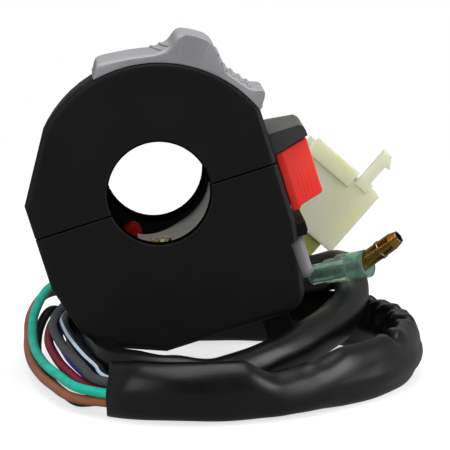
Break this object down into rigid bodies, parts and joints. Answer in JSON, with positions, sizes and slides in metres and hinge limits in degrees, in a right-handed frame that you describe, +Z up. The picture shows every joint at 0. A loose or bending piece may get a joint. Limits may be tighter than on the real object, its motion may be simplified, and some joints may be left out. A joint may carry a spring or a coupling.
{
  "type": "handlebar switch cluster",
  "caption": "Two-piece clamp housing for a handlebar, with a light slider on its crown, a red stop switch, a start button and a sleeved wiring loom with a connector.",
  "frame": {"origin": "on the bar's axis, midway along the clamped length", "axes": "+Y along the bar from the near face to the far collar, +Z up as the part lies in the picture, +X to the switch side"},
  "size_m": [0.0904, 0.1095, 0.0783],
  "materials": {
    "housing_black": "fine moulded texture, dull sheen",
    "slider_grey": "smooth moulded grey",
    "button_grey": "smooth moulded grey",
    "stop_red": "smooth moulded red",
    "carrier_nylon": "natural nylon",
    "contact_copper": "stamped copper alloy",
    "turned_brass": "bare brass, dull",
    "board_phenolic": "punched phenolic sheet",
    "spring_steel": "drawn wire",
    "ball_steel": "polished ball",
    "zinc_steel": "zinc plated",
    "yellow_zinc": "yellow passivated zinc",
    "plate_steel": "cold rolled sheet, dull",
    "cap_red": "soft vinyl cap",
    "grommet_rubber": "moulded rubber",
    "sheath_vinyl": "satin extruded vinyl",
    "wire_green": "extruded vinyl",
    "wire_brown": "extruded vinyl",
    "wire_black": "extruded vinyl",
    "wire_red": "extruded vinyl",
    "wire_blue": "extruded vinyl",
    "wire_grey": "extruded vinyl",
    "wire_light_blue": "extruded vinyl",
    "connector_nylon": "natural nylon, slightly clear",
    "connector_olive": "natural nylon, slightly clear",
    "sleeve_vinyl": "clear green vinyl"
  },
  "bodies": {
    "housing": {"upper_housing": "housing_black", "lower_housing": "housing_black", "housing_screws": "zinc_steel", "screw_inserts": "turned_brass", "cover_plate": "plate_steel", "cover_plate_screw": "yellow_zinc", "splice_cap": "cap_red", "outlet_grommet": "grommet_rubber", "light_contact_board": "board_phenolic", "light_board_rivets": "turned_brass", "light_board_screws": "zinc_steel", "kill_contact_board": "board_phenolic", "kill_board_rivets": "turned_brass", "start_contact_board": "board_phenolic", "start_board_rivets": "turned_brass", "harness_sheath": "sheath_vinyl", "wire_green": "wire_green", "wire_brown": "wire_brown", "wire_black": "wire_black", "wire_red": "wire_red", "wire_blue": "wire_blue", "wire_grey": "wire_grey", "wire_light_blue": "wire_light_blue", "connector_housing": "connector_nylon", "connector_retainer": "connector_olive", "connector_terminals": "turned_brass", "bullet_sleeve": "sleeve_vinyl", "bullet_terminal": "turned_brass"},
    "light_slider": {"light_switch_knob": "slider_grey", "light_switch_carrier": "carrier_nylon", "light_bridge_contact": "contact_copper", "light_bridge_spring": "spring_steel", "light_detent_ball": "ball_steel", "light_detent_spring": "spring_steel"},
    "stop_slider": {"kill_switch_knob": "stop_red", "kill_switch_carrier": "carrier_nylon", "kill_bridge_contact": "contact_copper", "kill_bridge_spring": "spring_steel", "kill_detent_ball": "ball_steel", "kill_detent_spring": "spring_steel"},
    "start_plunger": {"start_button": "button_grey", "start_bridge_contact": "contact_copper", "start_retainer": "zinc_steel", "start_return_spring": "spring_steel"}
  },
  "joints": [
    {"name": "light_turn", "type": "hinge", "parent": "housing", "child": "light_slider", "pos_m": [0, 0, 0], "axis": [0, 1, 0], "range_deg": [-12, 12]},
    {"name": "stop_slide", "type": "slide", "parent": "housing", "child": "stop_slider", "axis": [0.3007, 0, -0.9537], "range_m": [0, 0.0024]},
    {"name": "start_press", "type": "slide", "parent": "housing", "child": "start_plunger", "axis": [-0.9537, 0, -0.3007], "range_m": [0, 0.0025], "stiffness_N_per_m": 400, "springref_m": -0.003, "deforming": ["start_return_spring"]}
  ]
}
